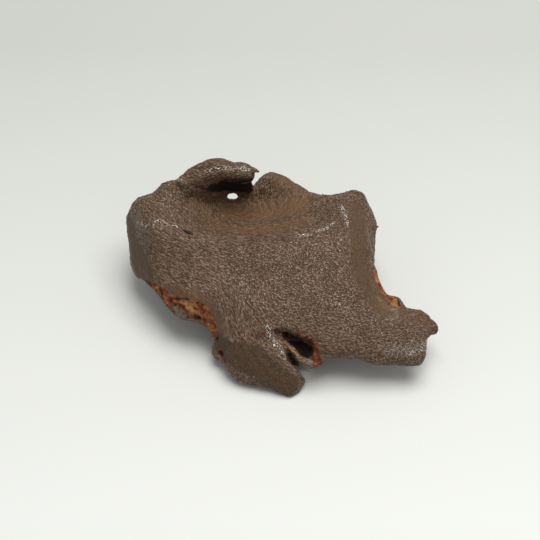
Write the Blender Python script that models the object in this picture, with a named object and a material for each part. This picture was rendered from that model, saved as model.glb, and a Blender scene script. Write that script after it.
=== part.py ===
"""An iron meteorite: one torn and bent plate of nickel-iron, standing on its own feet.

The plate has a scoop along its back, a lip that curls up and over the scoop's far side, a
prong that reaches down to the table in front, and a tear beside the prong with a sliver of
metal hanging in it. It is one piece, so it is one object. Run it with
blender --background --python part.py, or from Blender's text editor.
"""

import math

import bmesh
import bpy
import numpy as np
from mathutils import Vector, noise
from mathutils.geometry import delaunay_2d_cdt

MM = 0.001
NEARLY_NOTHING = 1e-9

# The plate is laid out as it looks to someone in front of it, looking down at 48 degrees:
# a place is (right, up) in millimetres across that view, and a height over the table.
VIEW_ELEVATION = math.radians(48)
VIEW_DISTANCE = 360.0
VIEW_CENTRE_HEIGHT = 12.0

# Driving sizes, in millimetres.
OUTLINE_STEP = 0.8
GRID_STEP = 0.9
GRID_FROM_OUTLINE = 0.32
SLOPE_STEP = 0.3
BACK_ROUNDING = 5.5
THINNEST_BACK = 1.0
VOXEL = 0.42
WORN_PASSES = 5
UNDERSIDE_PASSES = 25
UNDERSIDE_FULL_AT = 0.625
TABLE_REACH = 99.0
TABLE_DEPTH = 30.0
DENT_SPACING = 9.0
DENT_REACH = 0.75
DENT_WANDER = 0.35
DENT_DEPTH = 2.4
DENT_SEED = 3
UNEVEN_SPACING = 7.0
UNEVENNESS = 0.25
TRIANGLES = 9000

# The look of the iron, and the angle from which an edge is drawn sharp.
IRON_COLOUR = (0.135, 0.095, 0.07, 1.0)
IRON_ROUGHNESS = 0.5
IRON_METALLIC = 0.35
SHARP_FROM = math.radians(55)

# The plate's outline, clockwise from the left corner, in stretches. Each stretch has the
# width and the drop of its rounded front edge, then its points (right, up).
OUTLINE = {
    "left corner": (3.0, 3.0, [
        (-35.0, 12.4), (-34.2, 14.8), (-32.4, 17.3), (-30.5, 18.2), (-28.8, 18.4)]),
    "back left rim": (2.2, 2.2, [
        (-27.4, 19.5), (-26.2, 21.1), (-24.2, 21.8), (-21.4, 22.3), (-18.7, 20.8)]),
    "under the lip": (1.6, 1.6, [
        (-16.3, 19.2), (-13.4, 18.0), (-10.6, 17.4), (-8.6, 17.1), (-6.7, 17.6), (-5.0, 18.7)]),
    "hump": (2.2, 2.4, [
        (-3.8, 20.6), (-2.6, 22.3), (0.0, 23.8), (2.2, 23.1), (4.8, 21.9), (8.4, 19.9)]),
    "back right corner": (2.2, 2.4, [
        (12.2, 18.3), (16.0, 18.8), (20.2, 19.6), (22.2, 19.2), (23.4, 17.6)]),
    "right fold": (3.0, 3.2, [
        (25.2, 12.8), (25.8, 10.2), (25.4, 7.6), (25.4, 0.5), (25.9, -3.0), (26.6, -5.4)]),
    "notch": (1.6, 1.8, [(27.8, -7.4), (29.6, -8.7), (31.6, -9.2), (34.0, -9.0)]),
    "right lobe": (2.4, 2.6, [
        (37.0, -9.6), (39.0, -12.0), (39.2, -14.8), (37.6, -17.4), (37.8, -20.2),
        (37.0, -22.3), (34.6, -23.3)]),
    "front edge": (3.0, 3.6, [
        (29.0, -23.1), (24.0, -22.8), (21.4, -21.6), (17.0, -21.4), (13.6, -21.4)]),
    "tear": (1.2, 2.2, [
        (11.4, -20.4), (9.4, -18.0), (6.4, -15.9), (3.2, -14.8), (1.3, -14.6), (1.6, -15.8),
        (3.0, -17.6), (3.8, -19.8), (4.8, -21.8)]),
    "prong": (2.0, 2.2, [
        (6.6, -23.7), (8.8, -26.2), (8.6, -27.9), (7.2, -29.8), (5.2, -31.0), (2.4, -29.9),
        (-1.2, -28.5), (-6.2, -27.5), (-9.0, -26.0), (-11.0, -23.0)]),
    "toe": (1.8, 2.0, [(-12.7, -21.9), (-14.1, -19.9), (-13.7, -17.6), (-13.6, -15.6)]),
    "torn left edge": (3.8, 4.2, [
        (-15.2, -13.8), (-18.4, -12.3), (-21.8, -11.5), (-24.0, -9.6), (-27.4, -5.8),
        (-30.2, -3.2), (-32.6, -1.4)]),
    "left end": (3.4, 3.6, [(-33.8, 1.9), (-34.3, 6.5), (-34.6, 10.2)]),
}

# The plate's face, as stations (right, up, height over the table), grouped by area.
FACE = {
    "crest": [
        (-33.6, 12.5, 17.0), (-30.0, 11.5, 21.8), (-27.2, 10.1, 22.6), (-22.6, 10.0, 22.4),
        (-16.8, 8.9, 21.8), (-9.6, 7.7, 22.0), (-2.4, 7.2, 22.6), (4.8, 8.2, 23.0),
        (12.0, 9.4, 23.6), (15.6, 13.2, 24.2), (17.4, 17.6, 24.0), (20.4, 10.8, 23.6),
        (-15.0, 5.0, 20.9), (-6.0, 4.0, 21.3), (4.0, 4.4, 22.1)],
    "scoop": [
        (-6.0, 13.9, 15.5), (-11.5, 14.4, 16.5), (0.0, 13.9, 17.2), (6.0, 14.4, 20.0),
        (-9.1, 17.0, 16.8), (-3.6, 19.2, 19.0), (0.0, 20.4, 20.6), (0.0, 23.0, 22.0),
        (5.3, 20.9, 22.0), (10.8, 17.5, 21.8), (10.8, 14.4, 22.2)],
    "back left": [
        (-32.2, 15.6, 20.5), (-28.8, 15.6, 23.4), (-29.3, 17.8, 22.8), (-25.2, 20.4, 24.8),
        (-21.6, 21.4, 25.6), (-24.0, 14.4, 22.6), (-19.2, 16.8, 22.0), (-15.6, 18.0, 20.0),
        (-16.8, 13.2, 19.6)],
    "back right": [(21.1, 18.7, 23.5), (23.5, 15.6, 21.6), (25.0, 10.8, 20.0)],
    "right fold": [
        (24.7, 4.8, 18.0), (21.4, 4.8, 21.2), (25.0, -0.5, 16.5), (21.9, -3.6, 18.2),
        (26.4, -6.0, 15.2), (18.0, 1.2, 21.2)],
    "middle": [
        (12.0, 1.2, 21.5), (4.8, 0.0, 20.5), (-3.6, 0.0, 19.8), (-12.0, 1.2, 19.5),
        (-20.4, 1.9, 18.6), (-10.8, -7.2, 16.5), (-2.4, -9.6, 16.0), (4.8, -9.6, 16.5),
        (12.0, -8.4, 17.5), (19.2, -8.4, 17.2), (-8.4, -12.0, 13.5), (7.2, -14.4, 13.6),
        (0.0, -15.0, 12.6), (14.4, -15.6, 13.5), (22.8, -15.6, 13.0)],
    "left end": [
        (-26.4, 2.9, 17.6), (-30.5, 3.6, 15.0), (-33.6, 3.6, 11.0), (-31.9, -0.7, 11.0),
        (-27.6, -2.4, 14.0), (-24.0, -6.7, 12.5), (-20.4, -7.2, 14.2), (-19.2, -10.8, 10.8),
        (-15.6, -8.4, 14.4), (-13.4, -13.0, 10.4)],
    "right lobe": [
        (30.0, -10.8, 14.5), (36.0, -10.6, 12.5), (38.6, -13.9, 10.5), (32.4, -15.6, 12.5),
        (36.7, -18.7, 10.2), (34.8, -21.8, 8.4), (28.8, -21.1, 9.2), (22.8, -21.1, 9.6),
        (16.8, -20.2, 10.2), (12.5, -19.7, 10.6)],
    "foot": [
        (-8.4, -16.8, 10.6), (-12.8, -19.2, 4.0), (-9.6, -21.6, 6.4), (-4.8, -20.4, 8.8),
        (1.4, -20.2, 9.4), (-4.8, -25.9, 3.8), (1.2, -25.2, 5.4), (6.0, -25.2, 5.4),
        (5.3, -29.4, 2.0), (7.9, -26.9, 3.0)],
}

# The metal's thickness, as stations (right, up, thickness). It is thickest at the root under
# the scoop and at the leg inside the right fold, which both reach down to the table.
THICKNESS = {
    "crest": [
        (-33.0, 12.0, 6.5), (-24.0, 10.0, 7.5), (-15.0, 8.0, 8.5), (-6.0, 8.0, 10.0),
        (5.0, 8.0, 8.5), (13.0, 9.0, 8.0), (19.0, 14.0, 8.0)],
    "root": [
        (-12.0, 14.6, 13.0), (-8.6, 14.0, 18.6), (-3.6, 14.0, 19.0), (0.6, 13.0, 13.0),
        (-6.0, 11.0, 17.6), (-10.0, 16.6, 12.0)],
    "back": [
        (-30.0, 16.0, 6.5), (-24.0, 19.0, 6.5), (-18.0, 16.0, 8.0), (-4.0, 18.4, 8.0),
        (0.0, 21.6, 6.0), (7.0, 18.0, 6.5), (21.0, 18.0, 7.5), (24.0, 13.0, 8.0)],
    "right fold": [(24.6, 5.0, 7.5), (25.0, -1.0, 7.5), (26.0, -6.0, 6.5)],
    "leg": [(18.6, 2.4, 13.0), (19.0, -1.0, 14.0), (22.0, 4.0, 10.0)],
    "middle": [
        (11.0, 2.0, 8.0), (2.0, 0.0, 7.5), (-8.0, 0.0, 7.5), (-16.0, 0.0, 7.5),
        (-8.0, -9.0, 7.5), (2.0, -10.0, 8.0), (11.0, -9.0, 7.5), (18.0, -11.0, 7.0)],
    "left end": [(-30.0, 3.0, 6.5), (-24.0, -5.0, 6.5), (-18.0, -9.0, 6.5)],
    "right lobe": [(26.0, -16.0, 6.0), (34.0, -16.0, 6.0), (16.0, -19.0, 6.0)],
    "foot": [(-9.0, -19.0, 4.5), (0.0, -20.0, 4.0), (2.0, -26.0, 4.0)],
}

# The lip is a curled sheet, as rows of points (right, up, height, half its thickness) from the
# roll along its top, down its inner wall, to its foot on the plate's rim.
LIP = [
    [(-21.6, 20.6, 25.0, 1.8), (-18.0, 22.6, 26.4, 2.5), (-13.4, 24.2, 27.4, 2.8),
     (-10.8, 24.2, 27.6, 2.5), (-9.1, 23.6, 27.2, 2.1), (-7.0, 23.6, 27.2, 2.5),
     (-5.0, 23.0, 26.6, 2.2), (-3.8, 22.8, 26.0, 1.4)],
    [(-20.6, 19.4, 23.0, 2.4), (-17.0, 20.2, 23.0, 2.6), (-13.8, 21.4, 23.0, 2.4),
     (-11.0, 22.4, 23.0, 1.9), (-9.2, 22.4, 23.0, 1.8), (-7.0, 22.2, 23.0, 1.8),
     (-5.4, 22.0, 22.8, 1.7), (-4.2, 21.8, 22.6, 1.3)],
    [(-19.4, 17.6, 20.0, 2.6), (-16.4, 17.8, 19.2, 2.6), (-14.0, 18.0, 17.8, 2.4),
     (-12.0, 18.8, 17.4, 1.8), (-10.2, 19.6, 18.5, 1.4), (-8.0, 19.6, 18.5, 1.4),
     (-6.1, 18.7, 17.4, 1.6), (-4.8, 19.2, 18.6, 1.5)],
]
LIP_FILL = 3

# How finely a bar is divided, around it and between two of its points.
BAR_ROUNDNESS = 6
BAR_STEPS = 8

# Bars of metal fused with the plate, with points (right, up, height, radius).
BARS_IN_VIEW = {
    "ledge": [
        (24.3, 0.2, 14.4, 1.5), (25.1, -4.3, 12.8, 2.4), (26.5, -7.1, 11.8, 2.5),
        (28.8, -8.4, 10.8, 2.8), (31.0, -10.6, 11.0, 2.4)],
    "lobe knob": [(36.8, -14.0, 8.8, 1.7), (40.2, -13.9, 8.4, 1.8)],
    "sliver": [
        (1.4, -15.6, 10.2, 1.2), (3.2, -17.2, 9.6, 1.1), (5.0, -18.6, 8.8, 1.0),
        (6.6, -20.5, 7.8, 1.0), (7.6, -21.7, 7.2, 1.1), (8.6, -22.3, 7.0, 1.4),
        (9.6, -22.3, 7.0, 1.7), (10.8, -22.3, 7.2, 1.4), (11.8, -21.1, 8.0, 1.6),
        (12.3, -19.7, 9.0, 1.8)],
    "torn edge's core": [
        (-28.0, -2.1, 12.0, 1.5), (-24.9, -5.4, 11.0, 1.9), (-22.8, -7.9, 10.0, 2.1),
        (-20.5, -10.0, 9.0, 2.2), (-18.4, -10.4, 8.8, 2.1), (-15.8, -11.2, 9.2, 2.0),
        (-13.2, -13.4, 7.6, 1.9), (-12.4, -16.6, 5.2, 1.7)],
    "toe lump": [(-12.6, -17.6, 4.6, 1.6), (-12.1, -19.5, 3.4, 2.3), (-11.2, -21.0, 3.2, 1.7)],
}

# Bars under the plate, out of view, with points (x, y, height, radius).
BARS_BELOW = {
    "leg": [
        (14.0, 9.0, 20.0, 2.0), (18.0, 5.4, 11.6, 5.6), (20.2, 1.8, 4.4, 4.4),
        (20.8, 0.4, -2.0, 3.2)],
    "leg's flank": [
        (23.0, 8.0, 18.0, 1.6), (21.4, 6.0, 11.0, 4.2), (18.6, 3.0, 5.0, 3.8),
        (17.4, 1.8, -2.0, 2.4)],
    "tear's far wall": [
        (-7.0, -7.0, 14.0, 2.0), (-2.0, -14.0, 8.6, 3.6), (3.8, -18.4, 4.9, 3.8),
        (9.6, -17.8, 5.0, 3.8), (14.0, -14.6, 8.0, 3.6), (19.0, -10.0, 13.0, 2.0)],
}


def view_to_space(right, up, toward):
    """The place in space that is seen at (right, up), that far in front of the view's
    centre plane. Arrays or numbers, in millimetres."""
    shrink = 1 - toward / VIEW_DISTANCE
    across, along = right * shrink, up * shrink
    y = along * math.sin(VIEW_ELEVATION) - toward * math.cos(VIEW_ELEVATION)
    rise = along * math.cos(VIEW_ELEVATION) + toward * math.sin(VIEW_ELEVATION)
    return np.stack([across, y, VIEW_CENTRE_HEIGHT + rise], axis=-1)


def toward_at(up, height):
    """How far in front of the centre plane a point lies that is seen at up and stands at
    that height over the table."""
    slant = up * math.cos(VIEW_ELEVATION)
    return (height - VIEW_CENTRE_HEIGHT - slant) / (math.sin(VIEW_ELEVATION) - slant / VIEW_DISTANCE)


def place(right, up, height):
    """One point in space from its place in the view and its height."""
    return view_to_space(right, up, toward_at(up, height))


def closed_curve(points, step):
    """A smooth closed curve through the points, sampled about every step."""
    points = np.array(points, float)
    sampled = []
    for i in range(len(points)):
        p0, p1, p2, p3 = (points[(i + k) % len(points)] for k in (-1, 0, 1, 2))
        count = max(1, round(float(np.linalg.norm((p2 - p1)[:2])) / step))
        for t in np.arange(count) / count:
            sampled.append(0.5 * (2 * p1 + (p2 - p0) * t + (2 * p0 - 5 * p1 + 4 * p2 - p3) * t**2
                                  + (3 * p1 - p0 - 3 * p2 + p3) * t**3))
    return np.array(sampled)


def stations_of(areas):
    """The places and the values of all the areas' stations."""
    stations = np.array([station for group in areas.values() for station in group])
    return stations[:, :2], stations[:, 2]


def bent_surface(stations, values):
    """A thin plate spline: the smoothest surface with those values at those stations."""
    def kernel(squared):
        return 0.5 * squared * np.log(np.maximum(squared, NEARLY_NOTHING))

    count = len(stations)
    gaps = ((stations[:, None] - stations[None]) ** 2).sum(-1)
    flat = np.hstack([np.ones((count, 1)), stations])
    system = np.block([[kernel(gaps), flat], [flat.T, np.zeros((3, 3))]])
    weights = np.linalg.solve(system, np.concatenate([values, np.zeros(3)]))

    def surface(places):
        squared = ((places[:, None] - stations[None]) ** 2).sum(-1)
        return kernel(squared) @ weights[:-3] + weights[-3] + places @ weights[-2:]

    return surface


def near_average(stations, values):
    """Values between the stations, as an average that favours the nearest ones."""
    def surface(places):
        squared = ((places[:, None] - stations[None]) ** 2).sum(-1) + 1
        share = squared**-2.0
        return (share * values).sum(1) / share.sum(1)

    return surface


def mesh_object(name, points, faces):
    mesh = bpy.data.meshes.new(name)
    mesh.from_pydata([tuple(p) for p in np.asarray(points) * MM], [], faces)
    mesh.update()
    made = bpy.data.objects.new(name, mesh)
    bpy.context.scene.collection.objects.link(made)
    return made


def make_plate():
    """The bent plate: its face at the stations' heights, its edges rounded down to the
    outline, and its underside a thickness behind the face."""
    height = bent_surface(*stations_of(FACE))
    thickness = near_average(*stations_of(THICKNESS))

    corners = [(x, y, width, drop) for width, drop, group in OUTLINE.values() for x, y in group]
    outline = closed_curve(corners, OUTLINE_STEP)
    low, high = outline[:, :2].min(0), outline[:, :2].max(0)
    grid = np.stack(np.meshgrid(*(np.arange(a, b, GRID_STEP) for a, b in zip(low, high))), -1)
    grid = grid.reshape(-1, 2)
    grid = grid[edge_distance(grid, outline)[0] > GRID_FROM_OUTLINE]
    loose = [Vector(p) for p in np.vstack([outline[:, :2], grid])]
    ring = list(range(len(outline)))
    found, _, faces, kept, _, _ = delaunay_2d_cdt(loose, [], [ring], 1, NEARLY_NOTHING)
    used = sorted({i for face in faces for i in face})
    number = {old: new for new, old in enumerate(used)}
    faces = [[number[i] for i in face] for face in faces]
    places = np.array([found[i][:] for i in used])
    on_edge = np.array([any(k < len(outline) for k in kept[i]) for i in used])

    gap, width, drop = edge_distance(places, outline)
    gap[on_edge] = 0.0
    toward = toward_at(places[:, 1], height(places))
    front = view_to_space(*places.T, toward - drop * (1 - roundness(gap / width)))
    parting = view_to_space(*places.T, toward - drop)

    def beside(right, up):
        moved = places + (right, up)
        return view_to_space(*moved.T, toward_at(moved[:, 1], height(moved)))

    across = beside(SLOPE_STEP, 0) - beside(-SLOPE_STEP, 0)
    along = beside(0, SLOPE_STEP) - beside(0, -SLOPE_STEP)
    normal = np.cross(across, along)
    normal /= np.linalg.norm(normal, axis=1, keepdims=True)
    depth = np.maximum(thickness(places) - drop, THINNEST_BACK) * roundness(gap / BACK_ROUNDING)
    back = parting - normal * depth[:, None]

    inner = np.flatnonzero(~on_edge)
    behind = np.arange(len(places))
    behind[inner] = len(places) + np.arange(len(inner))
    points = np.vstack([front, back[inner]])
    return mesh_object("plate", points, faces + [[behind[i] for i in face[::-1]] for face in faces])


def lip_rows():
    """The lip's rows as bars in space, with more rows between them so that they make a wall."""
    rows = [np.array([(*place(*p[:3]), p[3]) for p in row]) for row in LIP]
    for upper, lower in zip(rows, rows[1:]):
        for share in np.arange(LIP_FILL) / LIP_FILL:
            yield upper + (lower - upper) * share
    yield rows[-1]


def make_bar(name, points):
    """A round bar through the points (x, y, height, radius), closed at both ends."""
    path = bpy.data.curves.new(name, "CURVE")
    path.dimensions = "3D"
    path.bevel_depth = MM
    path.bevel_resolution = BAR_ROUNDNESS
    path.use_fill_caps = True
    path.resolution_u = BAR_STEPS
    spline = path.splines.new("BEZIER")
    spline.bezier_points.add(len(points) - 1)
    for knot, (x, y, height, radius) in zip(spline.bezier_points, points):
        knot.co = Vector((x, y, height)) * MM
        knot.radius = radius
        knot.handle_left_type = knot.handle_right_type = "AUTO"
    made = bpy.data.objects.new(name, path)
    bpy.context.scene.collection.objects.link(made)
    return made


def edge_distance(places, outline):
    """Each place's distance to the outline, and the width and drop of the nearest edge."""
    gaps = np.linalg.norm(places[:, None] - outline[None, :, :2], axis=-1)
    nearest = gaps.argmin(1)
    return gaps.min(1), outline[nearest, 2], outline[nearest, 3]


def roundness(share):
    """A quarter circle's rise, from 0 at the edge to 1 where the share reaches 1."""
    return np.sqrt(1 - (1 - np.clip(share, 0, 1)) ** 2)


def evaluated_mesh(made):
    """The object's mesh with its modifiers applied."""
    bpy.context.view_layer.update()
    graph = bpy.context.evaluated_depsgraph_get()
    return bpy.data.meshes.new_from_object(made.evaluated_get(graph), depsgraph=graph)


def fuse(pieces):
    """One closed skin around all the pieces, smoothed as worn metal is."""
    vertices, faces = [], []
    for piece in pieces:
        mesh = evaluated_mesh(piece)
        first = len(vertices)
        vertices += [piece.matrix_world @ v.co for v in mesh.vertices]
        faces += [[first + i for i in p.vertices] for p in mesh.polygons]
        bpy.data.objects.remove(piece)
    mesh = bpy.data.meshes.new("meteorite")
    mesh.from_pydata(vertices, [], faces)
    made = bpy.data.objects.new("meteorite", mesh)
    bpy.context.scene.collection.objects.link(made)
    skin = made.modifiers.new("Fuse", "REMESH")
    skin.mode = "VOXEL"
    skin.voxel_size = VOXEL * MM
    wear = made.modifiers.new("Wear", "SMOOTH")
    wear.iterations = WORN_PASSES
    made.data = evaluated_mesh(made)
    made.modifiers.clear()
    fill_hollows(made)
    return made


def fill_hollows(made):
    """Removes the closed hollows that the pieces leave between them, inside the skin."""
    skin = bmesh.new()
    skin.from_mesh(made.data)
    left = set(skin.verts)
    islands = []
    while left:
        island = [left.pop()]
        for vertex in island:
            near = [edge.other_vert(vertex) for edge in vertex.link_edges]
            island += [other for other in near if other in left]
            left.difference_update(near)
        islands.append(island)
    islands.sort(key=len)
    for island in islands[:-1]:
        bmesh.ops.delete(skin, geom=island, context="VERTS")
    skin.to_mesh(made.data)
    skin.free()


def hidden_share(normal):
    """How far a face turns away from the viewer, from 0 at a right angle to 1."""
    away = math.cos(VIEW_ELEVATION) * normal.y - math.sin(VIEW_ELEVATION) * normal.z
    return min(1.0, max(0.0, away / UNDERSIDE_FULL_AT))


def soften_underside(meteorite):
    """Lets the legs run smoothly into the plate."""
    group = meteorite.vertex_groups.new(name="underside")
    for index, normal in enumerate(meteorite.data.vertex_normals):
        group.add([index], hidden_share(normal.vector), "REPLACE")
    soft = meteorite.modifiers.new("Soften", "SMOOTH")
    soft.vertex_group = group.name
    soft.iterations = UNDERSIDE_PASSES
    meteorite.data = evaluated_mesh(meteorite)
    meteorite.modifiers.clear()


def dent(meteorite):
    """Shallow thumbprints over the underside and back, and a slight unevenness all over."""
    noise.seed_set(DENT_SEED)
    mesh = meteorite.data
    for vertex, normal in zip(mesh.vertices, [n.vector.copy() for n in mesh.vertex_normals]):
        spot = vertex.co / (DENT_SPACING * MM)
        bent = spot + DENT_WANDER * noise.noise_vector(spot)
        cup = max(0.0, 1.0 - (noise.voronoi(bent)[0][0] / DENT_REACH) ** 2)
        depth = DENT_DEPTH * cup * hidden_share(normal)
        depth += UNEVENNESS * noise.noise(vertex.co / (UNEVEN_SPACING * MM))
        vertex.co -= normal * depth * MM


def thin_out(meteorite):
    """Fewer, larger triangles where the metal is smooth."""
    mesh = meteorite.data
    mesh.calc_loop_triangles()
    fewer = meteorite.modifiers.new("Fewer faces", "DECIMATE")
    fewer.ratio = TRIANGLES / len(mesh.loop_triangles)
    meteorite.data = evaluated_mesh(meteorite)
    meteorite.modifiers.clear()


def stand_on_table(meteorite):
    """Gives the feet the small flats that the meteorite stands on."""
    sides = (-TABLE_REACH, TABLE_REACH)
    corners = [(x, y, z) for x in sides for y in sides for z in (-TABLE_DEPTH, 0)]
    table = mesh_object("table", corners, [
        (0, 1, 3, 2), (4, 6, 7, 5), (0, 4, 5, 1), (2, 3, 7, 6), (0, 2, 6, 4), (1, 5, 7, 3)])
    table.hide_render = True
    table.display_type = "WIRE"
    trim = meteorite.modifiers.new("Feet", "BOOLEAN")
    trim.operation = "DIFFERENCE"
    trim.object = table
    meteorite.data = evaluated_mesh(meteorite)
    meteorite.modifiers.clear()
    bpy.data.objects.remove(table)


def centre(meteorite):
    """Puts the origin at the middle of the bounding box's base."""
    places = np.array([v.co for v in meteorite.data.vertices])
    low, high = places.min(0), places.max(0)
    base = Vector(((low[0] + high[0]) / 2, (low[1] + high[1]) / 2, low[2]))
    for vertex in meteorite.data.vertices:
        vertex.co -= base


def finish(meteorite):
    """Brown, satin, weathered iron, shaded smooth except at the feet's rims."""
    iron = bpy.data.materials.new("weathered iron")
    iron.use_nodes = True
    look = iron.node_tree.nodes["Principled BSDF"].inputs
    look["Base Color"].default_value = IRON_COLOUR
    look["Roughness"].default_value = IRON_ROUGHNESS
    look["Metallic"].default_value = IRON_METALLIC
    meteorite.data.materials.append(iron)
    meteorite.data.shade_smooth()
    meteorite.data.set_sharp_from_angle(angle=SHARP_FROM)


def main():
    for old in list(bpy.data.objects):
        bpy.data.objects.remove(old)
    pieces = [make_plate()]
    for number, row in enumerate(lip_rows()):
        pieces.append(make_bar(f"lip row {number}", row))
    for name, points in BARS_IN_VIEW.items():
        pieces.append(make_bar(name, [(*place(*p[:3]), p[3]) for p in points]))
    for name, points in BARS_BELOW.items():
        pieces.append(make_bar(name, points))
    meteorite = fuse(pieces)
    soften_underside(meteorite)
    dent(meteorite)
    thin_out(meteorite)
    stand_on_table(meteorite)
    centre(meteorite)
    finish(meteorite)


main()
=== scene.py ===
import math

import bpy
import numpy as np
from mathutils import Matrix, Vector
from mathutils.bvhtree import BVHTree


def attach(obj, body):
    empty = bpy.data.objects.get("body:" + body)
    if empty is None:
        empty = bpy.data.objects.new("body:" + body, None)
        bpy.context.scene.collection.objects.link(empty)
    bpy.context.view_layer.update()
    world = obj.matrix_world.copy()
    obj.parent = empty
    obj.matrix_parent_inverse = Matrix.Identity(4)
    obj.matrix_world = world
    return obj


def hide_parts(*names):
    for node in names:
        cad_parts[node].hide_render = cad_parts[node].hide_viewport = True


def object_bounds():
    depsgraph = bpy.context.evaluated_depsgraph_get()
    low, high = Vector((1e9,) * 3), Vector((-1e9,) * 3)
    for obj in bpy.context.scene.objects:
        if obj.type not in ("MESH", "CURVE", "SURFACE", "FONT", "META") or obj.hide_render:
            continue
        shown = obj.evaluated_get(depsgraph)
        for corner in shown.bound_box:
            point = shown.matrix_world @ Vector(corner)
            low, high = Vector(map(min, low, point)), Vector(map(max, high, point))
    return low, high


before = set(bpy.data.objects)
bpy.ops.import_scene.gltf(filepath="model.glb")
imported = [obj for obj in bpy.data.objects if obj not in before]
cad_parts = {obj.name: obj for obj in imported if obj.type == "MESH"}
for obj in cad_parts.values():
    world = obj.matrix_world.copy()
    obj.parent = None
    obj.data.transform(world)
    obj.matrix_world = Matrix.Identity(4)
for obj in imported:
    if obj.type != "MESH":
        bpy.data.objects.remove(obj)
cad_box = [list(corner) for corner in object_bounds()]

# The camera stands in front of the find and looks down on it. Every mark below is put on
# the iron where this view shows it, in pixels across and down the picture. The lens and its
# sensor are in mm, and the view's distances in metres.
MM = 0.001
VIEW_ELEVATION = math.radians(48)
VIEW_DISTANCE = 0.36
VIEW_CENTRE = Vector((-0.00194, 0.00211, 0.012))
PIXEL = 0.24 * MM
MIDDLE_PIXEL = 270
LENS_LENGTH = 100
SENSOR_WIDTH = 36
NEAREST_SEEN = 0.01

toward_eye = Vector((0, -math.cos(VIEW_ELEVATION), math.sin(VIEW_ELEVATION)))
picture_up = Vector((0, math.sin(VIEW_ELEVATION), math.cos(VIEW_ELEVATION)))
eye = VIEW_CENTRE + toward_eye * VIEW_DISTANCE

lens = bpy.data.cameras.new("front_view")
lens.lens = LENS_LENGTH
lens.sensor_width = SENSOR_WIDTH
lens.clip_start = NEAREST_SEEN
camera = bpy.data.objects.new("front_view", lens)
bpy.context.scene.collection.objects.link(camera)
camera.location = eye
camera.rotation_euler = (-toward_eye).to_track_quat("-Z", "Y").to_euler()
bpy.context.scene.camera = camera

# The iron is one plate of nickel-iron, torn off and bent while it was hot, so it has no
# joints and nothing fixed to it. Its skin is the solid's own, with the corners worn round.
SOLID_VOXEL = 0.28 * MM
WEAR_PASSES = 24
SKIN_VOXEL = 0.2 * MM
SKIN_PASSES = 3

iron = bpy.data.objects.new("meteorite_iron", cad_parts["meteorite"].data.copy())
bpy.context.scene.collection.objects.link(iron)
iron.data.materials.clear()


def keep_shape():
    """Applies the iron's modifiers to its mesh."""
    bpy.context.view_layer.update()
    graph = bpy.context.evaluated_depsgraph_get()
    iron.data = bpy.data.meshes.new_from_object(iron.evaluated_get(graph))
    iron.modifiers.clear()


def wear_round(voxel, passes):
    """Makes one even skin of the iron, and smooths it."""
    skin = iron.modifiers.new("Skin", "REMESH")
    skin.mode = "VOXEL"
    skin.voxel_size = voxel
    wear = iron.modifiers.new("Wear", "SMOOTH")
    wear.iterations = passes
    keep_shape()


wear_round(SOLID_VOXEL, WEAR_PASSES)
worn_iron = BVHTree.FromPolygons(
    [v.co for v in iron.data.vertices], [p.vertices for p in iron.data.polygons])


def on_iron(across, down):
    """The place on the iron seen at that pixel, or the nearest one if the pixel is off it."""
    seen = (VIEW_CENTRE + Vector((across - MIDDLE_PIXEL, 0, 0)) * PIXEL
            + picture_up * (MIDDLE_PIXEL - down) * PIXEL)
    hit = worn_iron.ray_cast(eye, (seen - eye).normalized())[0]
    return np.array(hit or worn_iron.find_nearest(seen)[0])


# Beads and spurs are drops of metal that froze on the edges as the plate tore. Each runs
# from a pixel of the iron, so many pixels right and up, with its radius in mm at each end.
SPURS = {
    "lip's barb": (252, 170, 6.5, -1.5, 0.75, 0.22),
    "upper spur on the fold": (374, 228, 3.6, 1.2, 0.4, 0.25),
    "lower spur on the fold": (373, 271, 3.6, 0.2, 0.4, 0.25),
    "knob's dark cap": (389, 297, 2.5, -0.5, 0.6, 0.5)}
SPUR_BALLS = 7
for root_across, root_down, run_right, run_up, root_radius, tip_radius in SPURS.values():
    root = Vector(on_iron(root_across, root_down))
    reach = (Vector((run_right, 0, 0)) + picture_up * run_up) * PIXEL
    for ball in range(SPUR_BALLS):
        share = ball / (SPUR_BALLS - 1)
        bpy.ops.mesh.primitive_ico_sphere_add(
            subdivisions=2, location=root + reach * share,
            radius=(root_radius + (tip_radius - root_radius) * share) * MM)
        drop = bpy.context.object
        bpy.ops.object.select_all(action="DESELECT")
        drop.select_set(True)
        iron.select_set(True)
        bpy.context.view_layer.objects.active = iron
        bpy.ops.object.join()
wear_round(SKIN_VOXEL, SKIN_PASSES)


def read_skin():
    """The places and the outward directions of all the skin's points."""
    count = len(iron.data.vertices)
    spots = np.empty(count * 3, np.float32)
    iron.data.vertices.foreach_get("co", spots)
    normals = np.empty(count * 3, np.float32)
    iron.data.vertex_normals.foreach_get("vector", normals)
    return spots.reshape(-1, 3).astype(float), normals.reshape(-1, 3).astype(float)


places, outward = read_skin()

# What the skin is like at each point, from 0 to 1, and how far it stands out, in metres. Only
# red goes from -1, where the rust is yellow, to 1. The sections below change these values, and
# the crust's material reads all of them but the height.
height = np.zeros(len(places))
grain_share = np.ones(len(places))
rust = np.zeros(len(places))
# The soot value also carries painted shade: darkening in holes, hollows, creases and on faces turned
# from the lamp.
soot_and_shade = np.zeros(len(places))
bare = np.zeros(len(places))
brown = np.zeros(len(places))
pale = np.zeros(len(places))
red = np.zeros(len(places))


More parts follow.
